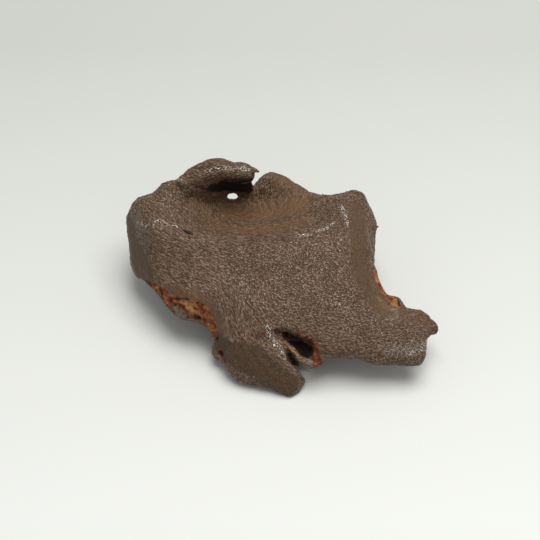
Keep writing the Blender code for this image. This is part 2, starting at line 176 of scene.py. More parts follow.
def nearness(*marks):
    """1 on the line through the marks (across, down, reach in mm), 0 at the reach from it."""
    anchors = [on_iron(across, down) for across, down, _ in marks]
    reaches = [reach * MM for _, _, reach in marks]
    nearest = np.full(len(places), 1.0)
    for first in range(max(1, len(marks) - 1)):
        last = min(first + 1, len(marks) - 1)
        line = anchors[last] - anchors[first]
        share = np.clip((places - anchors[first]) @ line / max(line @ line, 1e-12), 0, 1)
        gap = np.linalg.norm(places - anchors[first] - share[:, None] * line, axis=1)
        reach_here = reaches[first] + share * (reaches[last] - reaches[first])
        nearest = np.minimum(nearest, gap / reach_here)
    return (1 - nearest ** 2) ** 2


def ramped(values, low, high):
    """0 below low, 1 above high, and a smooth rise between."""
    share = np.clip((values - low) / (high - low), 0, 1)
    return share * share * (3 - 2 * share)


RANDOM_SEED = 11
LEANINGS = np.random.default_rng(RANDOM_SEED).normal(size=(256, 3))
LEANINGS /= np.linalg.norm(LEANINGS, axis=1, keepdims=True)
CORNER_PRIMES = np.array([7919, 104729, 1299709])
KIND_PRIME = 15485863
GRID_SHIFT = 512.0
LUMP_GAIN = 1.7


def lumps(spots, size, kind):
    """A smooth random value from -1 to 1 at each spot, in lumps of that size. The kind is a
    whole number, and each one gives other lumps."""
    spots = spots / size + GRID_SHIFT
    corner = np.floor(spots).astype(np.int64)
    inside = spots - corner
    fade = inside ** 3 * (inside * (inside * 6 - 15) + 10)
    total = np.zeros(len(spots))
    for offset in np.ndindex(2, 2, 2):
        key = (corner + offset) @ CORNER_PRIMES + kind * KIND_PRIME
        key = ((key ^ (key >> 11)) * 40503) & 0xffffff
        lean = LEANINGS[(key ^ (key >> 9)) & 255]
        share = np.prod(np.where(offset, fade, 1 - fade), axis=1)
        total += share * (lean * (inside - offset)).sum(1)
    return np.clip(total * LUMP_GAIN, -1, 1)


# The grain is a fine shagreen that the hot metal froze into. It is drawn out the way the metal
# ran: each mark gives a pixel, the run's direction in degrees there and how far it is drawn.
GRAIN_RUNS = [
    (150, 205, -35, 0.3), (185, 200, -60, 0.4), (150, 240, -50, 0.5), (168, 245, -28, 0.6),
    (188, 258, -22, 0.6), (165, 275, -40, 0.6), (205, 285, -35, 0.5), (215, 310, -70, 0.6),
    (234, 318, -86, 0.8), (250, 290, -60, 0.25), (250, 262, -15, 0.2), (300, 262, 0, 0.1),
    (340, 290, -30, 0.15), (290, 318, -30, 0.2), (315, 335, -24, 0.6), (330, 347, -18, 0.6),
    (360, 330, -20, 0.3), (400, 345, 5, 0.2), (410, 320, -10, 0.3), (356, 240, -82, 0.5),
    (362, 280, -60, 0.4), (240, 365, -50, 0.3), (280, 380, -35, 0.3), (215, 170, 12, 0.5),
    (240, 180, 0, 0.5), (240, 232, -4, 0.8), (212, 222, -50, 0.6), (285, 224, 8, 0.7),
    (262, 205, 70, 0.4), (300, 205, 60, 0.4), (330, 205, 20, 0.2)]
DRAWN_BY = 0.5 * MM
RUN_PIXELS = 6
RUN_REACH = 3 * MM
pull_total = np.zeros((len(places), 3, 3))
drawn_total = np.zeros(len(places))
weight_total = np.zeros(len(places))
for across, down, degrees, drawn_out in GRAIN_RUNS:
    turn = math.radians(degrees)
    start = on_iron(across, down)
    end = on_iron(across + RUN_PIXELS * math.cos(turn), down - RUN_PIXELS * math.sin(turn))
    way = (end - start) / np.linalg.norm(end - start)
    weight = (((places - start) ** 2).sum(1) + RUN_REACH ** 2) ** -1.5
    pull_total += weight[:, None, None] * np.outer(way, way)
    drawn_total += weight * drawn_out
    weight_total += weight
flow = np.linalg.eigh(pull_total)[1][:, :, 2]
flow -= outward * (flow * outward).sum(1)[:, None]
flow /= np.maximum(np.linalg.norm(flow, axis=1, keepdims=True), 1e-6)
flow *= (drawn_total / weight_total * DRAWN_BY)[:, None]

# The grain's bumps, the wider billows under it, and the swells of the whole plate: how high
# each stands, and how wide one is.
ALONG_RUN = (-1, -0.5, 0, 0.5, 1)
GRAIN_HEIGHT = 0.085 * MM
GRAIN_WIDTH = 0.9 * MM
GRAIN_PATCH = 1.7 * MM
BILLOW_HEIGHT = 0.10 * MM
BILLOW_WIDTH = 2.1 * MM
SWELL_HEIGHT = 0.11 * MM
SWELL_WIDTH = 4.0 * MM
worms = sum(lumps(places + flow * part, GRAIN_WIDTH, 1) for part in ALONG_RUN) / 3
grain = np.clip(1 - 2.4 * np.abs(worms) + 0.5 * lumps(places, GRAIN_PATCH, 3), -1, 1)
billows = sum(lumps(places + flow * 2 * part, BILLOW_WIDTH, 2) for part in ALONG_RUN) / 3
height += SWELL_HEIGHT * lumps(places, SWELL_WIDTH, 7) + BILLOW_HEIGHT * billows

# The smooth places: the end on the left, the fold on the right, the prong's flat and the
# lobe's top, where the metal cooled against something or ran thin. Each is (place, how much
# smoother, browner and darker it is). The darkening of the left end and of the prong is painted
# shade, for faces turned away from the lamp.
SMOOTH_END = [(130, 228, 4.5), (137, 255, 5.0), (146, 275, 5.0)]
SMOOTH_FOLD = [(357, 208, 3.5), (358, 240, 4.0), (366, 280, 5.0), (385, 310, 3.0)]
PRONG_FLAT = [(222, 345, 4.0), (250, 360, 6.0), (285, 385, 5.0)]
LOBE_TOP = [(395, 315, 3.5), (425, 318, 4.0)]
PRONG_UNEVEN = 0.22 * MM
left_end = nearness(*SMOOTH_END)
right_fold = nearness(*SMOOTH_FOLD)
prong = nearness(*PRONG_FLAT)
SMOOTH_PLACES = [
    (left_end, 0.6, 1.2, 0.45), (right_fold, 0.35, 1.1, 0.36), (prong, 0.3, 1.2, 0.46),
    (nearness(*LOBE_TOP), 0.4, 0, 0)]
for smooth_place, smoother, browner, darker in SMOOTH_PLACES:
    grain_share *= 1 - smoother * ramped(smooth_place, 0.1, 0.7)
    brown += browner * smooth_place
    # Painted shade on the left end and the prong; the fold is darkened as well.
    soot_and_shade += darker * ramped(smooth_place, 0.0, 0.5)
height += PRONG_UNEVEN * prong * lumps(places, 1.5 * MM, 12)

# Knuckles are low round swellings of the iron on the back of the left end and on the prong, as
# (across, down, reach, height) in pixels and mm.
KNUCKLES = [
    (138, 202, 2.6, 0.35), (147, 193, 1.8, 0.3), (159, 186, 1.8, 0.35), (172, 184, 1.7, 0.35),
    (134, 214, 1.6, 0.3), (152, 208, 1.6, 0.25), (170, 205, 1.5, 0.25), (176, 222, 1.6, 0.3),
    (158, 222, 1.6, 0.35), (228, 366, 1.5, 0.35), (238, 374, 1.4, 0.35), (250, 380, 1.3, 0.3),
    (262, 384, 1.3, 0.25), (231, 352, 1.3, 0.25), (246, 352, 1.6, 0.2), (262, 362, 1.4, 0.2),
    (272, 374, 1.4, 0.2)]
for across, down, reach, knuckle_height in KNUCKLES:
    height += knuckle_height * MM * nearness((across, down, reach))

# The scoop behind the face is where the metal ran round and froze in rings, with some rust in
# its near wall and floor. The scoop and the hump beside it are browner than the face.
RING_MIDDLE = (237, 209)
RING_STEP = 1.3 * MM
RING_HEIGHT = 0.08 * MM
RING_REACH = 13 * MM
RING_SQUASH = np.array([0.75, 1.0, 1.0])
NEAR_WALL = [(222, 228, 3.0), (245, 230, 4.0), (275, 228, 4.5), (305, 220, 3.0)]
SCOOP_FLOOR = [(232, 212, 5.0), (270, 212, 6.0), (300, 208, 4.0)]
SCOOP_LEFT = [(195, 200, 3.5), (205, 215, 4.5), (215, 225, 4.0)]
HUMP = [(282, 184, 4.0), (300, 196, 4.5)]
near_wall = nearness(*NEAR_WALL)
scoop_floor = nearness(*SCOOP_FLOOR)
ring_gap = np.linalg.norm((places - on_iron(*RING_MIDDLE)) * RING_SQUASH, axis=1)
rings = (np.sin((ring_gap / RING_STEP + 0.7 * lumps(places, 3 * MM, 21)) * math.tau)
         * np.clip(1.3 - ring_gap / RING_REACH, 0, 1) * ramped(outward[:, 2], 0.3, 0.8)
         * ramped(nearness(*NEAR_WALL, *reversed(SCOOP_FLOOR)), 0.0, 0.4))
height += RING_HEIGHT * rings
grain_share *= 1 - 0.5 * ramped(scoop_floor, 0.0, 0.6)
brown += (0.9 * np.maximum(near_wall, scoop_floor) + 0.9 * nearness(*HUMP)
          + 0.6 * nearness(*SCOOP_LEFT))
rust = np.maximum(rust, 0.22 * ramped(near_wall, 0.0, 0.6))
rust = np.maximum(rust, 0.16 * ramped(scoop_floor, 0.0, 0.6))
soot_and_shade += 0.2 * ramped(-rings, 0.3, 0.9)

# The rolled lip: a tongue of the plate thrown up and over, rubbed bright along its top, with a
# rusty corner where it meets the hump. Inside and under its roll it is painted black, partly for
# black oxide and old rust and partly as painted shade where the roll hangs over.
LIP_TOP = [(206, 171, 0.7), (214, 170, 1.0), (226, 168, 0.9), (241, 169, 0.9), (252, 170, 0.7)]
LIP_UNDER = [(221, 181, 1.3), (230, 180, 2.2), (240, 180, 2.4), (250, 180, 1.8)]
LIP_HEM = [(221, 182.5, 1.0), (230, 182.3, 1.4), (240, 182, 1.4), (251, 181, 1.2)]
LIP_INSIDE = [(213, 187, 1.6), (222, 186, 2.6), (233, 186, 3.4), (244, 186, 3.4), (250, 189, 2.0)]
LIP_FOOT = [(196, 186, 0.8), (206, 189, 1.3), (214, 191, 1.4)]
LIP_CORNER = [(250, 194, 0.5), (252.5, 191, 0.9)]
HOLE_RIM = [(218, 198, 0.7), (224, 201, 0.9), (236, 203.5, 0.8), (245, 199, 0.7)]
LIP_STAIN = [(196, 190, 1.2), (205, 195, 1.8), (214, 201, 1.6)]
lip_foot = nearness(*LIP_FOOT)
lip_stain = nearness(*LIP_STAIN)
bare += 0.8 * nearness(*LIP_TOP)
# Painted shade, partly black oxide: under the roll, along its hem and inside the curl.
soot_and_shade += 0.6 * nearness(*LIP_UNDER) + 1.2 * ramped(nearness(*LIP_INSIDE), 0.0, 0.5)
soot_and_shade += ramped(nearness(*LIP_HEM), 0.0, 0.6)
# Painted shade at the lip's foot on the left, with a red stain.
soot_and_shade += 0.45 * lip_foot
red += 0.7 * lip_foot + 0.5 * lip_stain
rust += 1.1 * nearness(*LIP_CORNER) + 0.5 * nearness(*HOLE_RIM) + 0.3 * lip_stain

# The torn left edge: the plate broke here in layers, under a thin rim, and the break has
# rusted orange and yellow. A blackened lump hangs on below the rim.
TORN_BAND = [
    (147, 282, 0.7), (153, 286, 1.2), (161, 293, 1.8), (170, 301, 2.4), (180, 307, 3.0),
    (191, 310, 3.3), (201, 313, 3.2), (208, 319, 2.4), (213, 327, 1.7), (216, 337, 1.0)]
TORN_RIM = [(166, 299, 0.5), (174, 301, 0.6), (182, 303, 0.6), (187, 309, 0.5)]
RIM_SHADE = [(172, 299, 0.4), (179, 299.5, 0.5), (188, 299, 0.4)]
BLACK_LUMP = [(174, 307, 1.2), (179, 312, 1.7), (185, 316, 1.2)]
YELLOW_RUST = [
    (150, 283, 0.9), (156, 287, 1.0), (176, 302, 0.6), (185, 303, 1.3), (190, 309, 1.2),
    (186, 314, 0.9)]
RED_RUST = [(160, 293, 0.9), (171, 300, 0.7), (196, 318, 1.2), (205, 321, 1.0), (200, 308, 0.9)]
EDGE_SHADE = [
    (166, 288, 1.2), (182, 294, 1.8), (197, 298, 2.4), (209, 305, 2.6), (216, 316, 2.2),
    (221, 330, 1.6)]
TORN_DEPTH = 0.5 * MM
RAGGED_HEIGHT = 0.32 * MM
RIM_HEIGHT = 0.55 * MM
LUMP_HEIGHT = 0.7 * MM
torn_edge = ramped(nearness(*TORN_BAND) + 0.08 * lumps(places, 1.2 * MM, 6), 0.03, 0.22)
ragged = 1 - 2 * np.abs(lumps(places, 1.3 * MM, 4)) + 0.6 * lumps(places, 0.6 * MM, 5)
black_lump = ramped(nearness(*BLACK_LUMP), 0.05, 0.4)
edge_shade = nearness(*EDGE_SHADE) * (1 - torn_edge)
height -= TORN_DEPTH * torn_edge * (1 + 0.6 * lumps(places, 2.2 * MM, 9))
height += RAGGED_HEIGHT * torn_edge * ragged
height += RIM_HEIGHT * nearness(*TORN_RIM) + LUMP_HEIGHT * nearness(*BLACK_LUMP)
rust = np.maximum(rust, torn_edge * (1 - 0.95 * black_lump))
soot_and_shade += 0.6 * black_lump * np.clip(0.9 - ragged, 0, 1) + 0.6 * nearness(*RIM_SHADE)
soot_and_shade += 0.3 * ramped(edge_shade, 0.0, 0.6)
pale += 0.35 * black_lump * np.clip(ragged, 0, 1)
brown += 1.1 * edge_shade
grain_share *= (1 - 0.8 * torn_edge) * (1 - 0.4 * edge_shade)
red += 1.3 * sum(nearness(spot) for spot in RED_RUST)
red -= 1.2 * sum(nearness(spot) for spot in YELLOW_RUST)

# Small holes have rusted into the torn edge, and are painted dark inside as shade. They are
# (across, down, reach, depth) in pixels and mm.
TORN_HOLES = [(160, 294, 0.7, 0.5), (198, 320, 0.8, 0.5), (193, 309, 0.6, 0.4), (205, 311, 0.6, 0.3)]
for across, down, reach, hole_depth in TORN_HOLES:
    hole = nearness((across, down, reach))
    height -= hole_depth * MM * hole
    soot_and_shade += 0.5 * hole

# The toe and the prong below it are the plate's thin end, drawn out as it tore. The toe has a
# rusty hole, from which a stain runs down.
TOE_HOLE = [(220, 352.5, 0.8), (222, 355, 0.7)]
TOE_STAIN = [(219, 348, 0.8), (222, 355, 1.3), (226, 363, 0.9)]
TOE_HOLE_DEPTH = 0.6 * MM
PRONG_STAIN = [(277, 380, 1.5), (290, 384, 2.0), (297, 382, 1.5)]
toe_hole = nearness(*TOE_HOLE)
height -= TOE_HOLE_DEPTH * toe_hole
rust = np.maximum(rust, 0.9 * nearness(*TOE_STAIN))
rust = np.maximum(rust, 0.4 * nearness(*PRONG_STAIN))
red += 1.2 * toe_hole
# The toe's hole is darkened a little as painted shade.
soot_and_shade += 0.2 * toe_hole

# The tear between the prong and the face: its far wall is layered and dark red, with some
# painted shade, a sliver of metal bridges it, and the hollow behind is painted black as shade.
# The ridge beside it is rubbed bright.
TEAR_WALL = [(275, 330, 0.8), (285, 332, 1.3), (298, 335, 1.3), (310, 341, 1.3), (317, 349, 1.2)]
TEAR_HOLLOW = [(293, 344, 1.6), (299, 348, 2.6), (305, 352, 2.6)]
LOWER_HOLLOW = [(289, 354, 0.6), (293, 360, 0.8), (297, 365, 0.7)]
SLIVER_EDGE = [(282.5, 340.5, 0.5), (287, 345, 0.7), (292, 350, 0.8), (298, 355.5, 0.6)]
SLIVER_KNOB = [(308, 362, 1.1), (311, 362, 1.0)]
TEAR_RUST = [(312, 350, 1.0), (316, 357, 1.6), (319, 364, 1.4)]
TEAR_REDS = [(256, 338, 1.0), (264, 334, 0.9), (275, 331, 0.9), (296, 335, 1.0), (310, 343, 1.0)]
BARE_RIDGE = [(267, 326, 0.8), (272, 335, 1.4), (279, 347, 1.5), (285, 358, 1.2)]
TEAR_RAGGED = 0.25 * MM
tear_wall = nearness(*TEAR_WALL)
tear_rust = nearness(*TEAR_RUST)
sliver_edge = nearness(*SLIVER_EDGE)
sliver_knob = nearness(*SLIVER_KNOB)
height += TEAR_RAGGED * ragged * np.maximum(tear_wall, tear_rust)
rust = np.maximum.reduce([
    rust, 0.75 * ramped(tear_wall, 0, 0.5), 0.55 * sliver_edge,
    ramped(tear_rust, 0, 0.5) * (1 - sliver_knob)])
red += 0.9 * tear_wall + 0.9 * nearness(*TEAR_REDS) + 0.55 * tear_rust - 0.9 * sliver_edge
# Painted shade: the hollow behind the tear and the gap below it are blackened, and the far wall
# darkened.
soot_and_shade += 1.1 * ramped(nearness(*TEAR_HOLLOW), 0.05, 0.5) + 0.4 * tear_wall
soot_and_shade += 0.9 * ramped(nearness(*LOWER_HOLLOW), 0.05, 0.5)
soot_and_shade *= 1 - 0.8 * np.maximum(sliver_edge, sliver_knob)
pale += 0.6 * sliver_knob
bare = np.maximum(bare, nearness(*BARE_RIDGE))

# The notch on the right: a ledge of the broken second layer runs down to a knob, rusted
# orange, and the edge of the fold above it is painted pale as a highlight.
LEDGE = [
    (373, 270, 0.6), (376, 276, 1.0), (378.5, 283, 1.3), (381.5, 290, 1.5), (386.5, 298, 1.6),
    (392, 302, 1.7), (398, 305, 1.2)]
LEDGE_RED = [(378.5, 283, 0.9), (382, 291, 1.0), (386, 298, 1.2)]
KNOB = [(391, 299, 1.2), (394, 301, 1.2)]
KNOB_DARK = [(389.5, 296, 0.6), (392, 296, 0.6)]
KNOB_SIDE = [(398, 300, 0.6), (400, 305, 0.7)]
NOTCH_TAN = [(378, 298, 1.2), (385, 306, 1.6), (396, 310, 1.2)]
FOLD_EDGE = [(373, 236, 0.8), (375, 250, 0.8), (375, 264, 0.8)]
FOLD_EDGE_HIGHLIGHT = [(366, 226, 0.3), (369.5, 240, 0.4), (371, 252, 0.4), (374, 264, 0.35)]
FOLD_RIM = [(372.5, 244, 1.0), (371.5, 256, 1.3), (370.5, 265, 1.2)]
PLATE_RIM = [(370.5, 270, 1.2), (372, 279, 1.5), (375, 288.5, 1.7), (380, 296, 1.7), (387, 303.5, 1.3)]
LEDGE_DEPTH = 0.3 * MM
LEDGE_RAGGED = 0.2 * MM
KNOB_HEIGHT = 0.5 * MM
FOLD_RIM_HEIGHT = 0.6 * MM
PLATE_RIM_HEIGHT = 0.7 * MM
ledge = ramped(nearness(*LEDGE) + 0.06 * lumps(places, 1.2 * MM, 16), 0.03, 0.25)
notch_tan = nearness(*NOTCH_TAN)
height += ledge * (LEDGE_RAGGED * ragged - LEDGE_DEPTH) + KNOB_HEIGHT * nearness(*KNOB)
height += FOLD_RIM_HEIGHT * nearness(*FOLD_RIM) + PLATE_RIM_HEIGHT * nearness(*PLATE_RIM)
rust = np.maximum.reduce([rust, ledge, 0.4 * notch_tan, 0.3 * nearness(*FOLD_EDGE)])
red += 0.3 * nearness(*LEDGE_RED) - 0.5 * notch_tan - 0.35 * ledge
soot_and_shade += 0.9 * nearness(*KNOB_DARK) + 0.7 * nearness(*KNOB_SIDE)
# The pale line on the fold's edge is a painted highlight; the tan under the notch is its colour.
pale += nearness(*FOLD_EDGE_HIGHLIGHT) + 0.3 * notch_tan
grain_share *= 1 - 0.7 * ledge

# The break in the notch bites into the plate. It is cut back almost to a line of pixels
# (across, down), and the cut eases in and out between two pixels down at each end.
BREAK_LINE = [(374, 264), (376.5, 271), (378.8, 280), (382.5, 288.8), (385.5, 294), (388, 297)]
CUT_EASES_IN = (264, 270)
CUT_EASES_OUT = (295, 298)
CUT_SHARE = 0.9
from_eye = places - np.array(eye)
pixels_per_metre = VIEW_DISTANCE / PIXEL / -(from_eye @ np.array(toward_eye))
seen_across = MIDDLE_PIXEL + from_eye[:, 0] * pixels_per_metre
seen_down = MIDDLE_PIXEL - (from_eye @ np.array(picture_up)) * pixels_per_metre
line_across = np.interp(
    seen_down, [down for _, down in BREAK_LINE], [across for across, _ in BREAK_LINE])
beyond = np.maximum(seen_across - line_across, 0) / pixels_per_metre
notch_cut = (CUT_SHARE * beyond * ramped(seen_down, *CUT_EASES_IN)
             * (1 - ramped(seen_down, *CUT_EASES_OUT)))

# The lobe below the notch is a blunt end of the plate. A small bead of iron froze on its corner
# and is hollowed underneath.
LOBE_SHOULDER = [(420, 312, 1.5), (427, 317, 1.4)]
LOBE_END = [(424, 343, 1.2), (423.5, 352, 1.8), (420, 362, 1.8)]
BEAD_UNDER = [(433.5, 332.5, 1.2), (430, 335, 0.8)]
SHOULDER_HEIGHT = 0.5 * MM
END_HEIGHT = 0.45 * MM
BEAD_UNDERCUT = 0.6 * MM
height += SHOULDER_HEIGHT * nearness(*LOBE_SHOULDER) + END_HEIGHT * nearness(*LOBE_END)
height -= BEAD_UNDERCUT * nearness(*BEAD_UNDER)

# Pits and a crease in the crust, the pits as (across, down, reach, depth) in pixels and mm, a
# few stains of rust, and a second layer's broken edge along the front. The pits are painted
# darker the deeper they are, and the crease dark, as painted shade.
PITS = [
    (339, 357, 0.85, 0.7), (195, 236, 0.7, 0.2), (183, 203, 1.8, 0.18), (187, 197, 1.5, 0.18),
    (181, 210, 1.6, 0.15), (287, 185, 0.6, 0.2), (324, 275, 0.5, 0.2), (322, 287, 0.5, 0.15),
    (300.5, 214, 0.4, 0.15), (301, 219, 0.4, 0.15)]
PIT_SHADE_PER_MM = 2.4
CREASE = [(183, 229.5, 0.35), (187.5, 231.5, 0.7), (192, 233.5, 0.4)]
CREASE_DEPTH = 0.5 * MM
CREASE_RUST = [(193, 234, 0.8), (199, 237, 0.8)]
FACE_STAIN = [(206, 296, 1.0), (222, 295, 0.8)]
HUMP_STAIN = [(296, 194, 1.5), (310, 205, 1.5)]
LAYER_EDGE = [(352, 350, 0.5), (362, 356, 0.7), (380, 361, 0.6)]
LAYER_HEIGHT = 0.3 * MM
FRONT_EDGE = [(318, 345, 2.0), (335, 352, 2.4), (355, 358, 2.4), (385, 362, 2.4), (415, 362, 2.2)]
FRONT_UNEVEN = 0.3 * MM
for across, down, reach, pit_depth in PITS:
    pit = nearness((across, down, reach))
    height -= pit_depth * MM * pit
    soot_and_shade += min(1.0, PIT_SHADE_PER_MM * pit_depth) * pit
crease = nearness(*CREASE)
height -= CREASE_DEPTH * crease
soot_and_shade += 0.9 * crease
rust = np.maximum.reduce([
    rust, 0.4 * nearness(*CREASE_RUST), 0.4 * nearness(*FACE_STAIN), 0.3 * nearness(*HUMP_STAIN)])
height += LAYER_HEIGHT * nearness(*LAYER_EDGE)
height += FRONT_UNEVEN * nearness(*FRONT_EDGE) * lumps(places, 1.4 * MM, 14)

# Rubbed places: on the crests the crust is worn through in specks, and the iron shines. The
# lobe's end is flecked all over.
CRESTS = [
    [(138, 222, 0.6), (146, 227, 0.6)], [(153, 228, 0.6), (156, 220, 0.9), (166, 224, 0.7)],
    [(173, 226, 0.5), (181, 227, 0.5)], [(316, 232, 0.6), (325, 229, 0.8), (334, 223, 0.6)],
    [(298, 235, 0.4), (310, 235, 0.5)], [(342, 206, 0.9), (346, 216, 0.8), (347, 226, 0.5)],
    [(166, 181, 0.5), (182, 179, 0.5)], [(230, 375, 0.5), (241, 382, 0.5)],
    [(408, 354, 1.0), (424, 347, 1.2), (426, 357, 1.2)],
    [(337, 305, 0.6), (345, 302, 0.6)], [(229, 339, 0.6), (233, 341, 0.5)],
    [(254, 377, 0.4), (255, 380, 0.4)]]
CREST_HEIGHT = 0.2 * MM
FLECKED_END = [(390, 350, 2.4), (410, 350, 3.0), (426, 348, 2.2)]
for marks in CRESTS:
    crest = nearness(*marks)
    bare = np.maximum(bare, 0.9 * crest)
    height += CREST_HEIGHT * crest
flecked_end = nearness(*FLECKED_END)
bare = np.maximum(bare, 0.25 * flecked_end)
pale += 0.25 * flecked_end

# The underside is duller: it lay in the ground, and rust has broken through it in patches. It
# is guessed, because the front view doesn't show it.
UNDER_RUST = 0.65
UNDER_BROWN = 0.4
underneath = ramped(-outward[:, 2], 0.0, 0.5)
patches = ramped(lumps(places, 5 * MM, 31) + 0.5 * lumps(places, 1.6 * MM, 32), 0.15, 0.6)
rust = np.maximum(rust, UNDER_RUST * underneath * patches)
brown += UNDER_BROWN * underneath

# The relief goes on the skin in two steps, the broken forms and then the grain. The feet that
# it rests on stay where they are. The mesh is thinned where it is plain, and stays inside the
# solid's own size.
FEET = 0.06 * MM
MOST_TRIANGLES = 194000


def move_skin(spots):
    """Puts the skin's points at the spots."""
    iron.data.vertices.foreach_set("co", spots.astype(np.float32).ravel())
    iron.data.update()


resting = places[:, 2] < FEET
places[:, 0] -= notch_cut
for relief in (height, GRAIN_HEIGHT * grain * np.clip(grain_share, 0, 1)):
    moved = places + outward * relief[:, None]
    moved[:, 2] = np.maximum(np.where(resting, places[:, 2], moved[:, 2]), 0)
    move_skin(moved)
    places, outward = read_skin()
for name, values in (("grain", grain_share), ("rust", rust), ("soot_and_shade", soot_and_shade), ("bare", bare),
                     ("brown", brown), ("pale", pale), ("red", 0.5 + 0.5 * red)):
    kept = iron.data.attributes.new(name, "FLOAT", "POINT")
    kept.data.foreach_set("value", np.clip(values, 0, 1).astype(np.float32))
kept = iron.data.attributes.new("flow", "FLOAT_VECTOR", "POINT")
kept.data.foreach_set("vector", flow.astype(np.float32).ravel())
fewer = iron.modifiers.new("Fewer faces", "DECIMATE")
fewer.ratio = min(1.0, MOST_TRIANGLES / (2 * len(iron.data.polygons)))
keep_shape()
move_skin(np.clip(read_skin()[0], *cad_box))
iron.data.shade_smooth()

# The crust: satin brown oxide, dark in the hollows of the grain and paler on its tops, worn to
# bright iron on the crests, black in the holes with soot and painted shade, and rusted yellow, orange
# and dark red.
GRAIN_SIZE = 0.30 * MM
FINE_SIZE = 0.2 * MM
POCK_SIZE = 0.5 * MM
FLECK_SIZE = 0.3 * MM
CLOUD_SIZE = 9 * MM
RUST_PATCH = 1.1 * MM
RUST_MOTTLE = 1.5 * MM
RUST_CRUMB = 0.5 * MM
HOLLOW_BROWN = (0.066, 0.036, 0.019)
CRUST_BROWN = (0.126, 0.076, 0.043)
TOP_BROWN = (0.200, 0.138, 0.092)
WARM_BROWN = (0.158, 0.086, 0.038)
POCK_BROWN = (0.034, 0.015, 0.009)
CLOUD_DARK = (0.82, 0.76, 0.70)
CLOUD_LIGHT = (1.12, 1.10, 1.08)
RED_STAIN = (0.075, 0.022, 0.012)
RUST_COLOURS = [
    (0.22, (0.020, 0.006, 0.004)), (0.36, (0.085, 0.018, 0.009)), (0.47, (0.20, 0.060, 0.020)),
    (0.57, (0.34, 0.135, 0.045)), (0.67, (0.42, 0.22, 0.075)), (0.80, (0.55, 0.36, 0.16))]
RED_SHIFT = 0.30
SOOT_AND_SHADE_BLACK = (0.007, 0.005, 0.004)
BARE_IRON = (0.68, 0.62, 0.54)
FOLD_PALE = (0.21, 0.19, 0.15)
SATIN = 0.40
RUST_DULLS = 0.4
SOOT_AND_SHADE_DULLS = 0.3
FLECK_SHINES = -0.18
FLECK_METAL = 0.85
CRUST_SPECULAR = 0.25
BUMP_HEIGHT = 0.15 * MM
CLOUD_SHARE = 0.8
BROWN_SHARE = 0.75
PALE_SHARE = 0.8
SOOT_AND_SHADE_COVERS = 0.94
GLINT_SHARE = 0.22
FINE_BUMPS = 0.25
CRUMB_BUMPS = 1.2

crust = bpy.data.materials.new("iron_crust")
crust.use_nodes = True
shader = crust.node_tree.nodes["Principled BSDF"]


def new_node(kind, **settings):
    """A new node of the crust, with those settings."""
    made = crust.node_tree.nodes.new(kind)
    for setting, value in settings.items():
        setattr(made, setting, value)
    return made


def fed(socket, value):
    """Joins a socket to another, or sets it to a number or a colour."""
    if isinstance(value, bpy.types.NodeSocket):
        crust.node_tree.links.new(value, socket)
    elif isinstance(value, tuple) and len(value) == 3 and socket.type == "RGBA":
        socket.default_value = (*value, 1)
    else:
        socket.default_value = value


def sums(way, first, second, third=0.0, clamp=False):
    """Works out a number from two or three others."""
    made = new_node("ShaderNodeMath", operation=way, use_clamp=clamp)
    for socket, value in zip(made.inputs, (first, second, third)):
        fed(socket, value)
    return made.outputs[0]


def vectors(way, first, second):
    """Adds two vectors, or scales the first by a number."""
    made = new_node("ShaderNodeVectorMath", operation=way)
    fed(made.inputs[0], first)
    if way == "SCALE":
        fed(made.inputs["Scale"], second)
    else:
        fed(made.inputs[1], second)
    return made.outputs[0]


def kept_value(name, output="Fac"):
    """What the skin keeps under that name."""
    return new_node("ShaderNodeAttribute", attribute_name=name).outputs[output]


def mottle(size, detail=3.0, roughness=0.6, at=None):
    """Cloudy variation with patches of that size in metres."""
    made = new_node("ShaderNodeTexNoise")
    fed(made.inputs["Vector"], at or where)
    made.inputs["Scale"].default_value = 1 / size
    made.inputs["Detail"].default_value = detail
    made.inputs["Roughness"].default_value = roughness
    return made.outputs["Fac"]


def colours(factor, stops):
    """A colour from the stops (position, colour) at the factor."""
    made = new_node("ShaderNodeValToRGB")
    bar = made.color_ramp
    while len(bar.elements) < len(stops):
        bar.elements.new(0.5)
    for stop, (position, colour) in zip(bar.elements, stops):
        stop.position = position
        stop.color = (*colour, 1)
    fed(made.inputs["Fac"], factor)
    return made.outputs["Color"]


def eased(values, low, high):
    """A number that goes from 0 at low to 1 at high."""
    made = new_node("ShaderNodeMapRange", clamp=True, interpolation_type="SMOOTHSTEP")
    fed(made.inputs["Value"], values)
    made.inputs["From Min"].default_value = low
    made.inputs["From Max"].default_value = high
    return made.outputs["Result"]


def blend(share, under, over, way="MIX"):
    """The over colour laid on the under colour by that share."""
    made = new_node("ShaderNodeMix", data_type="RGBA", blend_type=way)
    fed(made.inputs["Factor"], share)
    fed([s for s in made.inputs if s.name == "A" and s.type == "RGBA"][0], under)
    fed([s for s in made.inputs if s.name == "B" and s.type == "RGBA"][0], over)
    return [s for s in made.outputs if s.type == "RGBA"][0]


where = new_node("ShaderNodeTexCoord").outputs["Object"]
grain_of = kept_value("grain")
red_of = kept_value("red")
run = kept_value("flow", "Vector")
tap_total = 0.0
for part in ALONG_RUN:
    tap = mottle(GRAIN_SIZE, 1.0, 0.5, vectors("ADD", where, vectors("SCALE", run, part)))
    tap_total = sums("ADD", tap_total, tap)
grain_height = eased(sums("MULTIPLY", tap_total, 1 / len(ALONG_RUN)), 0.37, 0.63)
grain_swing = sums("MULTIPLY", sums("SUBTRACT", grain_height, 0.5), grain_of)
fine_height = mottle(FINE_SIZE, 2.0)

